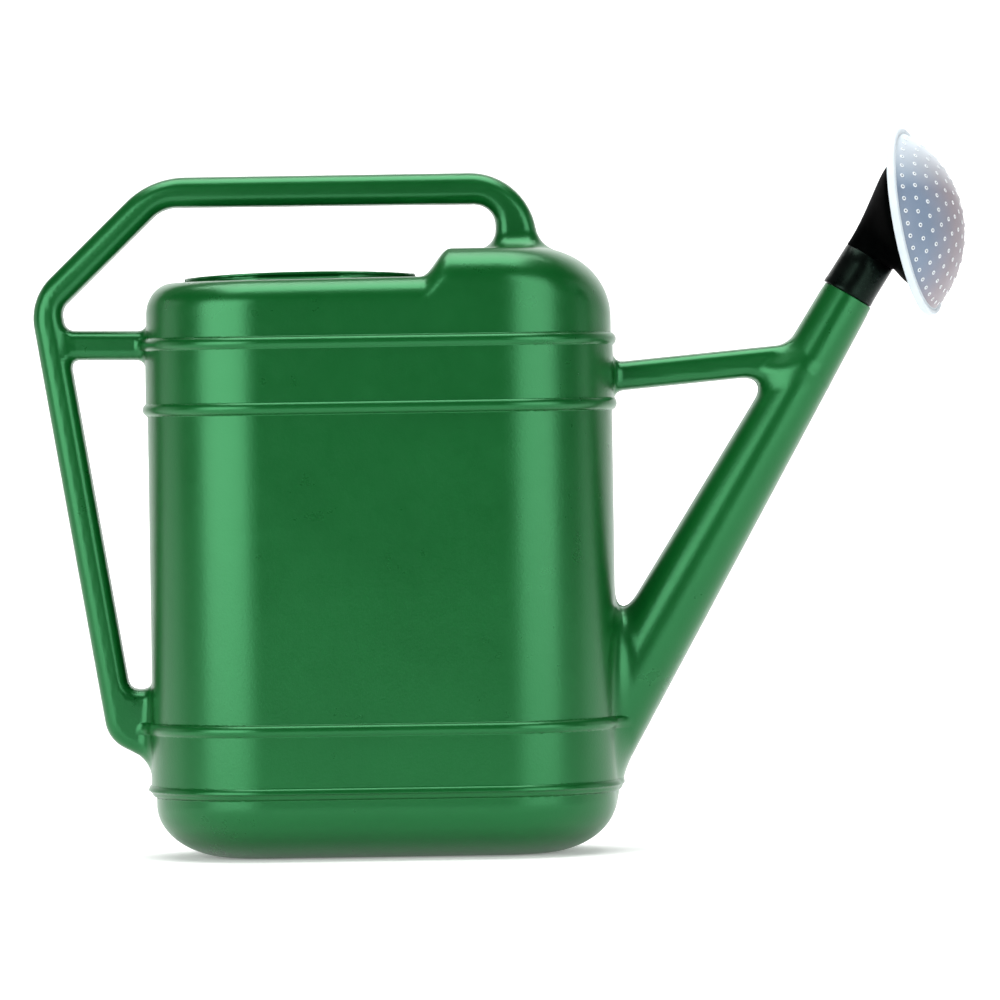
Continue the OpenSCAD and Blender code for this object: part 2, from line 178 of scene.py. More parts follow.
def meeting(p, a, q, b):
    """Where the line through p in direction a meets the line through q in direction b, in degrees."""
    a, b = math.radians(a), math.radians(b)
    t = ((q[0] - p[0]) * math.sin(b) - (q[1] - p[1]) * math.cos(b)) / math.sin(b - a)
    return p[0] + t * math.cos(a), p[1] + t * math.sin(a)


def beside(p, direction, offset):
    """The point offset to the left of p, seen along a direction in degrees."""
    a = math.radians(direction + 90)
    return p[0] + offset * math.cos(a), p[1] + offset * math.sin(a)


def plan(x, y):
    """Distance to the tank's outline from above, and how much its outward direction faces an end."""
    qx, qy = np.abs(x) - CORNER_X, np.abs(y) - CORNER_Y
    px, py = np.maximum(qx, 0), np.maximum(qy, 0)
    reach = np.hypot(px, py)
    side = reach + np.minimum(np.maximum(qx, qy), 0) - CORNER_R
    return side, (px / np.maximum(reach, 1e-9)) ** 2


def wall_profile(z):
    """How far the wall stands out at each height: beads, belts and the foot."""
    def above(level):
        return ease(z, level - BELT_EDGE, level + BELT_EDGE)
    out = -FOOT_STEP * (1 - above(BEADS[0]))
    for low, high in (BEADS[:2], BEADS[2:]):
        out = out + BELT_OUT * above(low) * (1 - above(high))
    for bead in BEADS:
        t = np.clip(np.abs(z - bead) / BEAD_HALF, 0, 1)
        proud = BEAD_OUT * (1 - t * t) ** 0.62
        out = out + np.maximum(proud - np.maximum(out, 0), 0)
    return out


def tank(x, y, z):
    """The tank, solid: its wall, its stepped and rounded top, and its base with a shallow recess."""
    side, endwise = plan(x, y)
    foot = (FOOT_STEP - FRONT_FOOT_STEP) * endwise * (x > 0) * (1 - ease(z, *FRONT_FOOT_TOP))
    side = side - wall_profile(z) - foot
    raised = ease(x, RISE[0] - 4, RISE[1] + 4)
    climb = 0.5 - 0.5 * np.cos(math.pi * np.clip((x - RISE[0]) / (RISE[1] - RISE[0]), 0, 1))
    top = LOW_TOP + LOW_TOP_FALL * np.minimum(x - RISE[0], 0) + (HIGH_TOP - LOW_TOP) * climb
    a = mix(mix(LOW_SIDE_ROUND[0], HIGH_SIDE_ROUND[0], raised),
            np.where(x > 0, HIGH_END_ROUND[0], LOW_END_ROUND[0]), endwise)
    b = mix(mix(LOW_SIDE_ROUND[1], HIGH_SIDE_ROUND[1], raised),
            np.where(x > 0, HIGH_END_ROUND[1], LOW_END_ROUND[1]), endwise)
    upper = rounded_edge(side, z - top, a, b)
    floor = RECESS_H * ease(-side, *RECESS_EDGE)
    lower = rounded_edge(side, floor - z, *BASE_ROUND)
    return np.maximum(upper, lower)


def stadium(x, y):
    """Distance to the flat oval of the fill opening's centre line run, before its radius."""
    return np.hypot(np.maximum(np.abs(x - RIM_X) - RIM_RUN, 0), y)


def collar_top(x):
    """Height of the collar's top edge, which is crowned along the tank."""
    return RIM_TOP - RIM_CROWN * ((x - RIM_PEAK_X) / (RIM_RUN + RIM_R)) ** 2


def collar(x, y, z):
    """The collar round the fill opening, solid, with a thin lip along its top edge."""
    top = collar_top(x)
    lip = 0.9 * ease(z - top, -2.2, -1.3) - 0.3
    return np.maximum(rounded_edge(stadium(x, y) - RIM_R - lip, z - top, 0.6, 0.5), COLLAR_FOOT_Z - z)


SLOPE_POINT, SLOPE_DIR = (-154.3, 376.9), 180 + 44.1
LEG_POINT, LEG_DIR = (-178.3, 202.6), 270 + 9.3
GRIP_TOP = 407.5
FRONT_OUTER_X, FRONT_INNER_X = 95.4, 71.3
FOOT_POINT, FOOT_DIR = (-139.0, 57.3), -27.5
FOOT_CROTCH = 101.0
INSIDE = -100.0

_slope_out, _slope_in = (beside(SLOPE_POINT, SLOPE_DIR, k * GRIP_HALF) for k in (-1, 1))
_leg_out, _leg_in = (beside(LEG_POINT, LEG_DIR, k * GRIP_HALF) for k in (-1, 1))
HANDLE_OUTSIDE = (
    [(FRONT_OUTER_X, 300), (FRONT_OUTER_X, GRIP_TOP),
     meeting((0, GRIP_TOP), 180, _slope_out, SLOPE_DIR),
     meeting(_slope_out, SLOPE_DIR, _leg_out, LEG_DIR),
     meeting(_leg_out, LEG_DIR, FOOT_POINT, FOOT_DIR),
     meeting(FOOT_POINT, FOOT_DIR, (-122, 0), 90)],
    [0, 40, 51, 34, 21, 0])
HANDLE_HOLE = (
    [(FRONT_INNER_X, 300), (FRONT_INNER_X, GRIP_TOP - 2 * GRIP_HALF - 0.7),
     meeting((0, GRIP_TOP - 2 * GRIP_HALF), 180, _slope_in, SLOPE_DIR),
     meeting(_slope_in, SLOPE_DIR, _leg_in, LEG_DIR),
     meeting(_leg_in, LEG_DIR, (0, FOOT_CROTCH), 0),
     (INSIDE, FOOT_CROTCH)],
    [0, 13, 21.1, 9.6, 6.5, 0])
STRUT_POINT, STRUT_SLOPE, STRUT_HALF, STRUT_DEPTH = (-139.0, 307.2), -0.9, 8.5, 22.0
STRUT_SPAN = (-50, 20)
BRACE_POINT, BRACE_SLOPE, BRACE_HALF, BRACE_DEPTH = (148.6, 284.9), 5.0, 8.4, 18.0
BRACE_SPAN = (-30, 108)
BAR_EDGE_R = 6.0


def handle(x, y, z):
    """The loop handle, solid, down into the tank's top and its rear wall."""
    outline = np.maximum(convex_outline(x, z, *HANDLE_OUTSIDE), -convex_outline(x, z, *HANDLE_HOLE))
    return extruded(outline, y, GRIP_DEPTH / 2, GRIP_R)


def bar(x, y, z, point, slope, half, depth, span, r):
    """A straight rounded bar in the XZ plane, over a span along it, and the height above its middle."""
    c, s = math.cos(math.radians(slope)), math.sin(math.radians(slope))
    along, up = (x - point[0]) * c + (z - point[1]) * s, (z - point[1]) * c - (x - point[0]) * s
    middle, reach = (span[0] + span[1]) / 2, (span[1] - span[0]) / 2
    outline = np.maximum(np.abs(up) - half, np.abs(along - middle) - reach)
    return extruded(outline, y, depth / 2, r), up


def on_spout(x, y, z):
    """Height along the spout's axis from the shoulder under the rose, and distance from the axis."""
    dx, dz = x - SPOUT_TIP[0], z - SPOUT_TIP[1]
    c, s = math.cos(SPOUT_ANGLE), math.sin(SPOUT_ANGLE)
    return dx * c + dz * s, np.hypot(dx * s - dz * c, y)


def spout(x, y, z):
    """The tapered spout, solid, up to the shoulder under the rose."""
    along, out = on_spout(x, y, z)
    cone = (out - SPOUT_R + along * math.tan(SPOUT_TAPER)) * math.cos(SPOUT_TAPER)
    return np.maximum(np.maximum(cone, along + 2.5),
                      np.maximum(SPOUT_START[0] - x, SPOUT_START[1] - z))


def moulding(x, y, z):
    """Everything that is one green moulding, as a solid; each fillet's radius changes along its joint."""
    body = tank(x, y, z)
    body = union_round(body, collar(x, y, z), 2.0)
    grip = handle(x, y, z)
    strut, _ = bar(x, y, z, STRUT_POINT, STRUT_SLOPE, STRUT_HALF, STRUT_DEPTH, STRUT_SPAN, BAR_EDGE_R)
    grip = union_round(grip, strut, 5.5)
    foot_r = mix(9.0, 5.0, ease(z, 60, 110))
    front_leg_r = mix(12.0, 13.0, ease(x, FRONT_INNER_X, FRONT_OUTER_X))
    f = union_round(body, grip, mix(foot_r, front_leg_r, ease(z, 318, 345)))
    brace, up = bar(x, y, z, BRACE_POINT, BRACE_SLOPE, BRACE_HALF, BRACE_DEPTH, BRACE_SPAN, BAR_EDGE_R)
    pipe = union_round(spout(x, y, z), brace, mix(14.0, 6.0, ease(up, -8, 8)))
    root_r = mix(8.0, 14.0, ease(z, 80, 125))
    f = union_round(f, pipe, mix(root_r, 6.0, ease(z, 200, 260)))
    parting_line = PARTING_LINE_H * np.maximum(1 - (y / PARTING_LINE_HALF) ** 2, 0)
    return f - parting_line * ease(z, 4, 10)


def hollow(x, y, z):
    """The space inside: the tank, the fill opening and the spout's bore."""
    flare = 0.9 * np.clip((z - collar_top(x) + 1.2) / 1.2, 0, 1.5) ** 2
    mouth = np.maximum(np.maximum(stadium(x, y) - (RIM_R - RIM_T) - flare, FILL_HOLE[0] - z),
                       z - FILL_HOLE[1])
    along, out = on_spout(x, y, z)
    radius = (SPOUT_R - SPOUT_WALL - np.minimum(along + 6, 0) * math.tan(SPOUT_TAPER)
              - 1.1 * ease(along, -9, -5))
    bore = np.maximum(np.maximum(out - radius, along - SPIGOT_L - 2), SPOUT_BORE_X - x)
    return np.minimum(np.minimum(tank(x, y, z) + WALL, mouth), bore)


# ---- Mesh tools ----------------------------------------------------------------------------------

def lines(*spans):
    """Grid lines through spans of (start, end, spacing), each line once."""
    parts = [np.linspace(a, b, max(2, round((b - a) / step) + 1)) for a, b, step in spans]
    return np.unique(np.round(np.concatenate(parts), 4))


def gradient(field, p, h=0.04):
    """Direction of steepest increase of a field at points, one row each, and its length."""
    g = np.empty_like(p)
    for i in range(3):
        d = np.zeros(3)
        d[i] = h
        g[:, i] = (field(*(p + d).T) - field(*(p - d).T)) / (2 * h)
    return g, np.maximum(np.linalg.norm(g, axis=1), 1e-6)


def level_mesh(name, xs, ys, zs, field):
    """A closed mesh of quads where the field is zero, with its points drawn on to the surface."""
    axes = (xs, ys, zs)
    v = np.broadcast_to(field(xs[:, None, None], ys[None, :, None], zs[None, None, :]),
                        (len(xs), len(ys), len(zs)))
    quads, marks = [], []
    for axis in range(3):
        low = tuple(slice(0, -1) if i == axis else slice(None) for i in range(3))
        high = tuple(slice(1, None) if i == axis else slice(None) for i in range(3))
        crossed = (v[low] < 0) != (v[high] < 0)
        at = np.argwhere(crossed)
        a, b = v[low][crossed], v[high][crossed]
        p = np.stack([axes[i][at[:, i]] for i in range(3)], 1)
        p[:, axis] += a / (a - b) * (axes[axis][at[:, axis] + 1] - axes[axis][at[:, axis]])
        u, w = (axis + 1) % 3, (axis + 2) % 3
        cells = []
        for du, dw in ((-1, -1), (0, -1), (0, 0), (-1, 0)):
            c = at.copy()
            c[:, u] += du
            c[:, w] += dw
            cells.append(np.ravel_multi_index(tuple(c.T), v.shape))
        cells = np.stack(cells, 1)
        cells[a > 0] = cells[a > 0][:, ::-1]
        quads.append(cells)
        marks.append(np.repeat(p, 4, axis=0))
    quads, marks = np.concatenate(quads), np.concatenate(marks)
    _, index = np.unique(quads.ravel(), return_inverse=True)
    count = np.bincount(index)
    p = np.stack([np.bincount(index, weights=marks[:, i]) / count for i in range(3)], 1)
    for _ in range(3):
        g, size = gradient(field, p)
        move = np.clip(field(*p.T) / size, -1.2, 1.2)
        p -= g * (move / size)[:, None]
    return merged(new_mesh(name, p, index.reshape(-1, 4)))


def new_mesh(name, points, faces, smooth=True):
    """A mesh object from points in millimetres and rows of point numbers."""
    mesh = bpy.data.meshes.new(name)
    faces = np.asarray(faces)
    n, k = faces.shape
    mesh.vertices.add(len(points))
    mesh.vertices.foreach_set("co", (np.asarray(points) * MM).ravel().astype(np.float32))
    mesh.loops.add(n * k)
    mesh.loops.foreach_set("vertex_index", faces.ravel().astype(np.int32))
    mesh.polygons.add(n)
    mesh.polygons.foreach_set("loop_start", np.arange(0, n * k, k, dtype=np.int32))
    mesh.update(calc_edges=True)
    mesh.validate()
    mesh.polygons.foreach_set("use_smooth", np.full(len(mesh.polygons), smooth))
    obj = bpy.data.objects.new(name, mesh)
    bpy.context.scene.collection.objects.link(obj)
    return obj


def merged(obj, distance=0.01):
    """Joins points that fell on one another, so that every edge has exactly two faces."""
    work = bmesh.new()
    work.from_mesh(obj.data)
    bmesh.ops.remove_doubles(work, verts=work.verts, dist=distance * MM)
    work.to_mesh(obj.data)
    work.free()
    return obj


def applied(obj):
    """Replaces an object's mesh by what its modifiers make of it."""
    bpy.context.view_layer.update()
    mesh = bpy.data.meshes.new_from_object(obj.evaluated_get(bpy.context.evaluated_depsgraph_get()))
    obj.modifiers.clear()
    obj.data = mesh
    return obj


def combine(obj, other, operation):
    """Joins or cuts one closed mesh with another, and removes the other."""
    m = obj.modifiers.new("combine", "BOOLEAN")
    m.operation, m.solver, m.object = operation, "MANIFOLD", other
    applied(obj)
    bpy.data.objects.remove(other)
    return obj


def shade_from_fields(obj, fields):
    """Gives each face corner the exact direction of the field that its face lies on."""
    mesh = obj.data
    p = np.empty(len(mesh.vertices) * 3, np.float32)
    mesh.vertices.foreach_get("co", p)
    p = p.reshape(-1, 3).astype(float) / MM
    away = np.stack([np.abs(field(*p.T)) for field, _ in fields])
    normals = []
    for field, sign in fields:
        g, size = gradient(field, p)
        normals.append(sign * g / size[:, None])
    corner = np.empty(len(mesh.loops), np.int32)
    mesh.loops.foreach_get("vertex_index", corner)
    total = np.empty(len(mesh.polygons), np.int32)
    mesh.polygons.foreach_get("loop_total", total)
    start = np.empty(len(mesh.polygons), np.int32)
    mesh.polygons.foreach_get("loop_start", start)
    spread = np.stack([np.maximum.reduceat(a[corner], start) for a in away])
    which = np.repeat(np.argmin(spread, axis=0), total)
    mesh.normals_split_custom_set(np.stack(normals)[which, corner].tolist())
    return obj


def revolve(name, profile, place, steps=96):
    """A closed outline of (radius, height) points turned round the z axis of a frame."""
    profile = np.asarray(profile, float)
    turn = np.arange(steps) * 2 * math.pi / steps
    points, index = [], []
    for r, h in profile:
        if r < 1e-6:
            index.append([len(points)] * steps)
            points.append((0, 0, h))
        else:
            index.append(list(range(len(points), len(points) + steps)))
            points.extend((r * math.cos(t), r * math.sin(t), h) for t in turn)
    mesh = bpy.data.meshes.new(name)
    faces = []
    n = len(profile)
    for i in range(n):
        a, b = index[i], index[(i + 1) % n]
        if a[0] == a[1] and b[0] == b[1]:
            continue
        for k in range(steps):
            m = (k + 1) % steps
            ring = [a[k], a[m], b[m], b[k]]
            faces.append([p for j, p in enumerate(ring) if p != ring[j - 1]])
    points = [place @ Vector(p) * MM for p in points]
    mesh.from_pydata([tuple(p) for p in points], [], faces)
    mesh.update()
    mesh.polygons.foreach_set("use_smooth", np.full(len(mesh.polygons), True))
    obj = bpy.data.objects.new(name, mesh)
    bpy.context.scene.collection.objects.link(obj)
    return obj


def soften(obj, angle=32):
    """Smooth faces, with an edge kept sharp where it turns by more than an angle in degrees."""
    obj.data.polygons.foreach_set("use_smooth", np.full(len(obj.data.polygons), True))
    obj.data.set_sharp_from_angle(angle=math.radians(angle))
    return obj


def arc(cx, cy, r, start, end, steps):
    """Points of an arc in an outline, in degrees."""
    return [(cx + r * math.cos(math.radians(start + (end - start) * i / steps)),
             cy + r * math.sin(math.radians(start + (end - start) * i / steps)))
            for i in range(steps + 1)]


# ---- The green moulding --------------------------------------------------------------------------

def build_can():
    """The green moulding: outside and neck joined, inside cut out. Grid lines are close at fine shapes."""
    xs = lines((-216, -130, 2.6), (-130, 130, 2.8), (130, 300, 2.6))
    ys = lines((-84, -2.1, 2.75), (-2.1, 2.1, 0.6), (2.1, 84, 2.75))
    zs = lines((-3, 34, 2.3), (34, 47, 0.8), (47, 71, 2.4), (71, 84, 0.8), (84, 262, 4.0),
               (262, 275, 0.8), (275, 300.5, 2.5), (300.5, 313.5, 0.8), (313.5, 343, 2.2),
               (343, 351, 0.6), (351, 412, 2.4))
    can = level_mesh("can_moulding", xs, ys, zs, moulding)
    neck = revolve("spout_neck", [
        (0, -9), (SPOUT_R + 9 * math.tan(SPOUT_TAPER) - 0.6, -9),
        (SPOUT_R + 5.4 * math.tan(SPOUT_TAPER) + 0.12, -5.4), (SPOUT_R + 0.16, -0.8),
        *arc(SPOUT_R - 0.64, -0.8, 0.8, 0, 90, 4), (SPIGOT_R + 0.5, 0),
        (SPIGOT_R, 0.5), (SPIGOT_R, 18), (SPIGOT_R - 0.9, SPIGOT_L), (0, SPIGOT_L)], SPOUT_FRAME)
    combine(can, neck, "UNION")
    xs = lines((-150, 112, 4.2), (112, 316, 3.0))
    ys = lines((-84, -20, 4.0), (-20, 20, 2.4), (20, 84, 4.0))
    zs = lines((-3, 36, 3.0), (36, 45, 1.5), (45, 73, 4.5), (73, 82, 1.5), (82, 264, 5.0),
               (264, 273, 1.5), (273, 302, 4.5), (302, 312, 1.5), (312, 342, 2.6),
               (342, 358, 1.0), (358, 372, 2.4))
    inside = level_mesh("inside", xs, ys, zs, hollow)
    combine(can, inside, "DIFFERENCE")
    return shade_from_fields(can, [(moulding, 1), (hollow, -1), (neck_field, 1)])


def neck_field(x, y, z):
    """The end of the spout: the shoulder under the rose and the spigot."""
    along, out = on_spout(x, y, z)
    cone = (out - SPOUT_R - 0.14 + along * math.tan(SPOUT_TAPER))
    return np.minimum(np.maximum(cone, along), np.maximum(out - SPIGOT_R, along - SPIGOT_L))


# ---- The rose ------------------------------------------------------------------------------------

SPOUT_FRAME = (Matrix.Translation((SPOUT_TIP[0], 0, SPOUT_TIP[1]))
               @ Matrix.Rotation(math.pi / 2 - SPOUT_ANGLE, 4, "Y"))
ROSE_FRAME = SPOUT_FRAME @ Matrix.Rotation(math.radians(-18.9), 4, "Z")
FACE_TILT = math.radians(51.7)
FACE_IN_ROSE = Matrix.Translation((13.9, 0, 57.95)) @ Matrix.Rotation(FACE_TILT, 4, "Y")
FACE_FRAME = ROSE_FRAME @ FACE_IN_ROSE
SLEEVE_L = 26.4
SLEEVE_LEAN = 1.1
SLEEVE_R = 15.7
BORE_R = 13.65
PART_GAP = 0.3
FLANGE_R = 56.85
FLANGE_HALF = 2.45
DOME_R = 53.0
DOME_H = 25.7
DOME_WALL = 2.0
BALL_R = (DOME_R ** 2 + DOME_H ** 2) / (2 * DOME_H)
BALL_Z = FLANGE_HALF + DOME_H - BALL_R
MOUTH_R = 37.4
MOUTH_Z = -FLANGE_HALF - PART_GAP
MOUTH_H = 3.5
SKIRT_H = 2.4
FUNNEL_WALL = 2.0
SPRAY_COUNTS = (4, 10, 15, 21, 27, 34, 42)
SPRAY_FIRST, SPRAY_STEP = 4.7, 7.3
HOLE_R = 0.6


def spray_points():
    """Polar angle and turn of each spray hole on the dome's ball."""
    for k, count in enumerate(SPRAY_COUNTS):
        for i in range(count):
            yield math.radians(SPRAY_FIRST + SPRAY_STEP * k), 2 * math.pi * i / count


def build_sleeve():
    """The sleeve, with its outside leaning a little off the spigot's axis towards the tank at its foot."""
    low, high = PART_GAP, SLEEVE_L - PART_GAP
    outline = [(BORE_R + 0.35, low), *arc(SLEEVE_R - 0.3, low + 0.6, 0.6, -90, 0, 4),
               (SLEEVE_R + 0.25, low + 2.4), (SLEEVE_R + 0.1, low + 4), (SLEEVE_R, low + 8),
               (SLEEVE_R - 0.05, 18), (SLEEVE_R - 0.1, high - 0.4), (SLEEVE_R - 0.4, high),
               (BORE_R + 0.2, high), (BORE_R, high - 0.3), (BORE_R, low + 0.4)]
    sleeve = revolve("rose_collar", outline, Matrix.Identity(4), 96)
    for v in sleeve.data.vertices:
        x, y, z = v.co / MM
        outside = 1.0 if math.hypot(x, y) > BORE_R + 0.8 else 0.0
        lean = -SLEEVE_LEAN * outside * (1 - z / SLEEVE_L)
        v.co = ROSE_FRAME @ Vector((x + lean, y, z)) * MM
    sleeve.data.update()
    return soften(sleeve, 40)


def bezier(p0, p1, p2, p3, t):
    """Point of a cubic curve at t."""
    s = 1 - t
    return p0 * s ** 3 + p1 * (3 * s * s * t) + p2 * (3 * s * t * t) + p3 * t ** 3


def funnel_rings(small_r, z0, big_r, back, neck, steps, turns):
    """Rings from a circle on the spout's axis to the tilted circle of the mouth."""
    tilt = FACE_IN_ROSE.to_3x3()
    rings = []
    for i in range(steps + 1):
        t = i / steps
        ring = []
        for k in range(turns):
            a = 2 * math.pi * k / turns
            around = Vector((math.cos(a), math.sin(a), 0))
            start = around * small_r + Vector((0, 0, z0))
            end = FACE_IN_ROSE @ (around * big_r + Vector((0, 0, back)))
            span = (end - start).length
            upright = 0.5 - 0.5 * math.cos(a)
            first = start + Vector((0, 0, 1)) * mix(neck * 0.1, neck, upright) - around * 2.0 * upright
            lean = tilt @ (around * 0.35 - Vector((0, 0, 1)) * 0.94)
            second = end + lean * mix(5.0, 0.12 * span, upright)
            ring.append(bezier(start, first, second, end, t))
        rings.append(ring)
    return rings


def build_funnel():
    """The funnel's shell: outside, lip, inside and the step over the sleeve, as one closed tube of rings."""
    turns, steps = 112, 22
    mouth = [FACE_IN_ROSE @ Vector((r * math.cos(a), r * math.sin(a), z))
             for r, z in ((MOUTH_R, MOUTH_Z - 0.6), (MOUTH_R - 0.5, MOUTH_Z),
                          (MOUTH_R - FUNNEL_WALL + 0.3, MOUTH_Z), (MOUTH_R - FUNNEL_WALL, MOUTH_Z - 0.4))
             for a in (2 * math.pi * k / turns for k in range(turns))]
    outer = funnel_rings(SLEEVE_R - 0.1, SLEEVE_L, MOUTH_R, MOUTH_Z - MOUTH_H, 24, steps, turns)
    inner = funnel_rings(SLEEVE_R - FUNNEL_WALL, SLEEVE_L + 1.6, MOUTH_R - FUNNEL_WALL,
                         MOUTH_Z - MOUTH_H, 22, steps, turns)
    rings = [p for ring in outer for p in ring] + mouth + [p for ring in reversed(inner) for p in ring]
    neck_r = SLEEVE_R - FUNNEL_WALL - 1
    rings += [Vector((neck_r * math.cos(a), neck_r * math.sin(a), z))
              for z in (SLEEVE_L + 1.2, SLEEVE_L)
              for a in (2 * math.pi * k / turns for k in range(turns))]
    n = len(rings) // turns
    faces = [[(i % n) * turns + k, (i % n) * turns + (k + 1) % turns,
              ((i + 1) % n) * turns + (k + 1) % turns, ((i + 1) % n) * turns + k]
             for i in range(n) for k in range(turns)]
    points = np.array([ROSE_FRAME @ p for p in rings])
    return soften(new_mesh("rose_funnel_shell", points, faces), 40)


def cones(name, r0, r1, r2, h0, h1, h2, steps):
    """One small closed solid at every spray hole, standing on the dome."""
    points, faces = [], []
    for polar, turn in spray_points():
        place = (FACE_FRAME @ Matrix.Translation((0, 0, BALL_Z)) @ Matrix.Rotation(turn, 4, "Z")
                 @ Matrix.Rotation(polar, 4, "Y"))
        base = len(points)
        for r, h in ((r0, h0), (r1, h1), (r2, h2)):
            points.extend(place @ Vector((r * math.cos(2 * math.pi * k / steps),
                                          r * math.sin(2 * math.pi * k / steps), BALL_R + h))
                          for k in range(steps))
        for i in range(2):
            for k in range(steps):
                m = (k + 1) % steps
                a, b = base + i * steps, base + (i + 1) * steps
                faces.append([a + k, a + m, b + m, b + k])
        faces.append([base + k for k in reversed(range(steps))])
        faces.append([base + 2 * steps + k for k in range(steps)])
    mesh = bpy.data.meshes.new(name)
    mesh.from_pydata([tuple(p * MM) for p in points], [], faces)
    mesh.update()
    obj = bpy.data.objects.new(name, mesh)
    bpy.context.scene.collection.objects.link(obj)
    return obj


def build_rim():
    """The flange round the dome: a plate with a raised edge, and the skirt that clips into the funnel."""
    skirt_r = MOUTH_R - FUNNEL_WALL - PART_GAP
    skirt_low = -FLANGE_HALF - SKIRT_H
    plate = -FLANGE_HALF + 2.0
    outline = [
        (DOME_R - 1.6, FLANGE_HALF), (DOME_R + 0.1, FLANGE_HALF), (DOME_R + 0.4, FLANGE_HALF - 0.7),
        (DOME_R + 0.9, FLANGE_HALF - 0.7), (DOME_R + 1.3, FLANGE_HALF - 0.15),
        *arc(FLANGE_R - 1.2, FLANGE_HALF - 1.2, 1.2, 90, 0, 6),
        *arc(FLANGE_R - 1.0, -FLANGE_HALF + 1.0, 1.0, 0, -90, 5),
        (skirt_r, -FLANGE_HALF), (skirt_r, skirt_low + 0.4), (skirt_r - 0.4, skirt_low),
        (skirt_r - 1.3, skirt_low), (skirt_r - 1.6, skirt_low + 0.3), (skirt_r - 1.6, plate - 0.3),
        (skirt_r - 1.3, plate), (DOME_R - 2.6, plate), (DOME_R - 2.0, plate + 0.6)]
    return soften(revolve("rose_face_rim", list(reversed(outline)), FACE_FRAME, 144), 34)


def build_dome():
    """The domed plate of the face, with a small raised nozzle round every spray hole."""
    def cap(radius, low, steps):
        edge = math.acos((low - BALL_Z) / radius)
        return [(radius * math.sin(edge * i / steps), BALL_Z + radius * math.cos(edge * i / steps))
                for i in range(steps + 1)]
    outline = cap(BALL_R, FLANGE_HALF + 0.02, 44) + cap(BALL_R - DOME_WALL, FLANGE_HALF + 0.02, 30)[::-1]
    dome = revolve("rose_face_dome", list(reversed(outline)), FACE_FRAME, 144)
    combine(dome, cones("nozzles", 1.65, 1.35, 0.85, -0.5, 0.22, 0.42, 16), "UNION")
    combine(dome, cones("holes", HOLE_R, HOLE_R, HOLE_R, -4, 0, 2.5, 12), "DIFFERENCE")
    return soften(dome, 28)


# ---- Materials -----------------------------------------------------------------------------------

class Nodes:
    """A short way to write a node tree."""

    def __init__(self, name):
        self.material = bpy.data.materials.new(name)
        self.material.use_nodes = True
        self.tree = self.material.node_tree
        self.shader = self.tree.nodes["Principled BSDF"]
        self.place = self.add("ShaderNodeTexCoord").outputs["Object"]

    def add(self, kind, inputs=(), **settings):
        node = self.tree.nodes.new(kind)
        for key, value in settings.items():
            setattr(node, key, value)
        for key, value in dict(inputs).items():
            self.give(node.inputs[key], value)
        return node

    def give(self, socket, value):
        if isinstance(value, bpy.types.NodeSocket):
            self.tree.links.new(value, socket)
        else:
            socket.default_value = value

    def vector_math(self, operation, *vectors):
        return self.add("ShaderNodeVectorMath", dict(enumerate(vectors)), operation=operation)

    def noise(self, scale, detail=2.0, roughness=0.5, stretch=(1, 1, 1)):
        where = self.add("ShaderNodeMapping", {"Vector": self.place, "Scale": stretch})
        return self.add("ShaderNodeTexNoise", {
            "Vector": where.outputs["Vector"], "Scale": scale, "Detail": detail,
            "Roughness": roughness}).outputs["Fac"]

    def spread(self, value, low, high, to_low, to_high):
        node = self.add("ShaderNodeMapRange", {"Value": value, "From Min": low, "From Max": high,
                                               "To Min": to_low, "To Max": to_high})
        return node.outputs["Result"]

    def blend(self, factor, a, b):
        node = self.add("ShaderNodeMix", data_type="RGBA")
        self.give(node.inputs["Factor"], factor)
        self.give(node.inputs["A"], a)
        self.give(node.inputs["B"], b)
        return node.outputs["Result"]

    def bump(self, height, distance, strength=1.0, under=None):
        node = self.add("ShaderNodeBump", {"Height": height, "Distance": distance,
                                           "Strength": strength})
        if under is not None:
            self.tree.links.new(under, node.inputs["Normal"])
        return node.outputs["Normal"]

    def finish(self, **values):
        for key, value in values.items():
            self.give(self.shader.inputs[key.replace("_", " ")], value)
        return self.material


def green_plastic():
    """Green polyethylene with a fine grain, a faint unevenness and a trace of dust."""
    n = Nodes("green_polyethylene")
    cloud = n.noise(14, 3.0, 0.55)
    grain = n.noise(600, 2.0, 0.6)
    patches = n.noise(90, 4.0, 0.6)
    colour = n.blend(n.spread(cloud, 0.35, 0.65, 0.0, 1.0),
                     (0.0011, 0.053, 0.0072, 1), (0.0013, 0.058, 0.0082, 1))
    dust = n.spread(patches, 0.60, 0.80, 0.0, 0.05)
    colour = n.blend(dust, colour, (0.007, 0.085, 0.020, 1))
    rough = n.spread(n.add("ShaderNodeMath", {0: cloud, 1: patches}, operation="ADD").outputs[0],
                     0.7, 1.3, 0.27, 0.31)
    normal = n.bump(grain, 0.00010, 0.6)
    normal = n.bump(n.noise(22, 1.0, 0.4), 0.0009, 0.08, normal)
    return n.finish(Base_Color=colour, Roughness=rough, Normal=normal, IOR=1.5,
                    Specular_IOR_Level=1.0, Specular_Tint=(0.27, 1.0, 0.47, 1))


def black_plastic(name, shine, rough_low, rough_high):
    """Black polypropylene; shine is its specular level, low where the surface is a dull, fine grain."""
    n = Nodes(name)
    grain = n.noise(1400, 2.0, 0.6)
    patches = n.noise(120, 3.0, 0.6)
    colour = n.blend(n.spread(patches, 0.35, 0.7, 0.0, 1.0),
                     (0.0003, 0.0003, 0.0004, 1), (0.0009, 0.0010, 0.0010, 1))
    rough = n.spread(patches, 0.3, 0.7, rough_low, rough_high)
    return n.finish(Base_Color=colour, Roughness=rough, Normal=n.bump(grain, 0.00005, 0.5), IOR=1.45,
                    Specular_IOR_Level=shine, Specular_Tint=(0.55, 1.0, 0.75, 1))


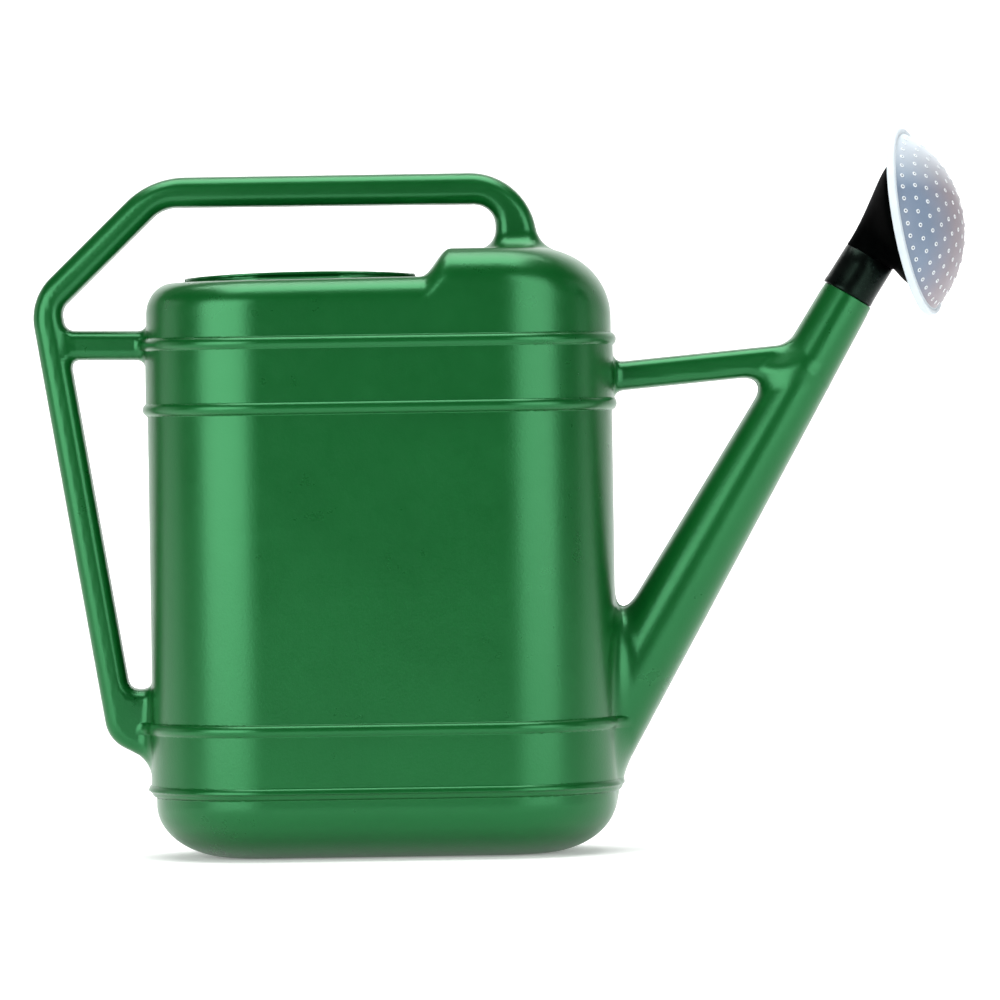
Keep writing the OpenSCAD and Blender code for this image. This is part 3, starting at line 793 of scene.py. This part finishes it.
def pale_plastic():
    """Pale polypropylene, slightly translucent, for the flange and its skirt."""
    n = Nodes("pale_polypropylene")
    cloud = n.noise(40, 3.0, 0.55)
    grain = n.noise(1300, 2.0, 0.6)
    colour = n.blend(n.spread(cloud, 0.35, 0.65, 0.0, 1.0),
                     (0.50, 0.56, 0.60, 1), (0.56, 0.62, 0.66, 1))
    rough = n.spread(cloud, 0.3, 0.7, 0.42, 0.54)
    return n.finish(Base_Color=colour, Roughness=rough, Normal=n.bump(grain, 0.00006, 0.5), IOR=1.47,
                    Subsurface_Weight=0.3, Subsurface_Radius=(1.0, 1.0, 1.0), Subsurface_Scale=0.002)


def dome_plastic_painted_light():
    """The dome: pale plastic darkened by painted shade of the chamber behind it, bluer towards -Y, with
    painted highlights on its nozzles and painted light from above on its top.
    """
    n = Nodes("dome_polypropylene_painted_shade_and_light")
    cloud = n.noise(40, 3.0, 0.55)
    grain = n.noise(1300, 2.0, 0.6)
    # Base colour: pale plastic with a random tone, darkened by painted shade of the dark chamber behind the
    # dome.
    colour = n.blend(n.spread(cloud, 0.35, 0.65, 0.0, 1.0),
                     (0.205, 0.175, 0.200, 1), (0.235, 0.205, 0.23, 1))
    down = (FACE_FRAME.to_3x3() @ Vector((1, 0, 0))).normalized()
    centre = FACE_FRAME @ Vector((0, 0, BALL_Z)) * MM
    offset = n.vector_math("SUBTRACT", n.place, centre).outputs["Vector"]
    height = n.vector_math("DOT_PRODUCT", offset, down).outputs["Value"]
    side = n.vector_math("DOT_PRODUCT", offset, (0, 1, 0)).outputs["Value"]
    reach = n.vector_math("LENGTH", offset).outputs["Value"]
    colour = n.blend(n.spread(side, -0.052, -0.030, 0.85, 0.0), colour, (0.150, 0.215, 0.300, 1))
    # Painted light from above: the top of the dome is coloured much paler.
    colour = n.blend(n.spread(height, -0.050, -0.010, 0.9, 0.0), colour, (0.62, 0.72, 0.78, 1))
    # Painted highlight: the raised nozzles are coloured near white.
    nozzle = n.spread(reach, (BALL_R + 0.10) * MM, (BALL_R + 0.30) * MM, 0.0, 0.75)
    colour = n.blend(nozzle, colour, (0.78, 0.82, 0.84, 1))
    rough = n.spread(cloud, 0.3, 0.7, 0.30, 0.42)
    return n.finish(Base_Color=colour, Roughness=rough, Normal=n.bump(grain, 0.00006, 0.5), IOR=1.47,
                    Subsurface_Weight=0.2, Subsurface_Radius=(1.0, 1.0, 1.0), Subsurface_Scale=0.002)


def dress(obj, material, body, slot, *nodes):
    """Finishes a piece: its material, the body it rides on and the CAD nodes it stands for."""
    obj.data.materials.clear()
    obj.data.materials.append(material)
    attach(obj, body)
    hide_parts(*nodes)


BODIES = frame["record"]["behaviour"]["bodies"]
dress(build_can(), green_plastic(), "can", "can_green", *BODIES["can"])
dress(build_sleeve(), black_plastic("black_polypropylene", 0.16, 0.24, 0.32),
      "rose_collar", "rose_black", "rose_sleeve")
dress(build_funnel(), black_plastic("dull_black_polypropylene", 0.006, 0.46, 0.58),
      "rose_head", "rose_black", "rose_funnel")
dress(build_rim(), pale_plastic(), "rose_plate", "rose_pale", "rose_rim")
dress(build_dome(), dome_plastic_painted_light(), "rose_plate", "rose_pale", "rose_face")


# ---- Studio --------------------------------------------------------------------------------------

PAPER_REACH = 4.0
PAPER_GLOW = 0.25
PAPER_PALE, PAPER_DARK = 0.90, 0.12
PAPER_FADE = (-1.9, -1.2)
CAMERA_PLACE = (0.0712, -4.5, 0.2656)
CAMERA_AIM = (0.0712, 0, 0.2113)
CAMERA_ANGLE = math.radians(7.63)
CAMERA_ROLL = math.radians(-0.888)
SENSOR = 36

def backdrop():
    """Paper that is a pale floor, curves up into a wall behind, and fades to grey far in front."""
    reach, bend_y, bend_r = PAPER_REACH, 1.6, 1.2
    outline = [(-reach, 0.0), (bend_y, 0.0)]
    outline += [(bend_y + bend_r * math.sin(math.radians(a)), bend_r - bend_r * math.cos(math.radians(a)))
                for a in range(6, 90, 6)]
    outline += [(bend_y + bend_r, bend_r), (bend_y + bend_r, reach)]
    points = [(x, y, z) for y, z in outline for x in (-reach, reach)]
    faces = [[2 * i, 2 * i + 1, 2 * i + 3, 2 * i + 2] for i in range(len(outline) - 1)]
    mesh = bpy.data.meshes.new("studio_floor")
    mesh.from_pydata(points, [], faces)
    mesh.polygons.foreach_set("use_smooth", np.full(len(faces), True))
    obj = bpy.data.objects.new("studio_floor", mesh)
    bpy.context.scene.collection.objects.link(obj)
    n = Nodes("studio_paper")
    depth = n.add("ShaderNodeSeparateXYZ", {0: n.place}).outputs["Y"]
    shade = n.spread(depth, *PAPER_FADE, PAPER_DARK, PAPER_PALE)
    colour = n.blend(shade, (0, 0, 0, 1), (1, 1, 1, 1))
    material = n.finish(Base_Color=colour, Roughness=0.9,
                        Emission_Color=colour, Emission_Strength=PAPER_GLOW)
    mesh.materials.append(material)


def softbox(name, azimuth, distance, height, size, watts, aim=(0.0, 0.0, 0.2)):
    """An area light at an azimuth from the camera's side, 0 being straight in front, facing aim."""
    light = bpy.data.lights.new(name, "AREA")
    light.shape = "RECTANGLE"
    light.size, light.size_y = size
    light.energy = watts
    obj = bpy.data.objects.new(name, light)
    a = math.radians(azimuth)
    obj.location = (math.sin(a) * distance, -math.cos(a) * distance, height)
    obj.rotation_euler = (Vector(aim) - obj.location).to_track_quat("-Z", "Y").to_euler()
    bpy.context.scene.collection.objects.link(obj)


def studio():
    """The floor, the lights, the air and the camera."""
    backdrop()
    softbox("key_left", -39.5, 1.8, 0.45, (1.5, 1.3), 29)
    softbox("key_right", 42, 1.8, 0.45, (1.25, 1.3), 19)
    softbox("overhead", 0, 0.25, 2.4, (2.2, 1.6), 62)
    softbox("side_left", -105, 2.2, 0.5, (1.2, 1.4), 5)
    softbox("side_right", 105, 2.2, 0.5, (1.2, 1.4), 5)
    softbox("wall", 0, -0.9, 2.6, (3.0, 0.6), 62, aim=(0, 2.8, 0.9))
    world = bpy.data.worlds.new("studio_air")
    world.use_nodes = True
    world.node_tree.nodes["Background"].inputs["Color"].default_value = (0.9, 0.95, 1.0, 1)
    world.node_tree.nodes["Background"].inputs["Strength"].default_value = 0.03
    scene = bpy.context.scene
    scene.world = world
    scene.view_settings.view_transform = "Standard"
    camera = bpy.data.cameras.new("camera")
    camera.sensor_width = SENSOR
    camera.lens = SENSOR / 2 / math.tan(CAMERA_ANGLE / 2)
    camera.clip_end = 50
    obj = bpy.data.objects.new("camera", camera)
    obj.location = CAMERA_PLACE
    aim = (Vector(CAMERA_AIM) - obj.location).to_track_quat("-Z", "Y").to_matrix().to_4x4()
    obj.rotation_euler = (aim @ Matrix.Rotation(CAMERA_ROLL, 4, "Z")).to_euler()
    scene.collection.objects.link(obj)
    scene.camera = obj


studio()
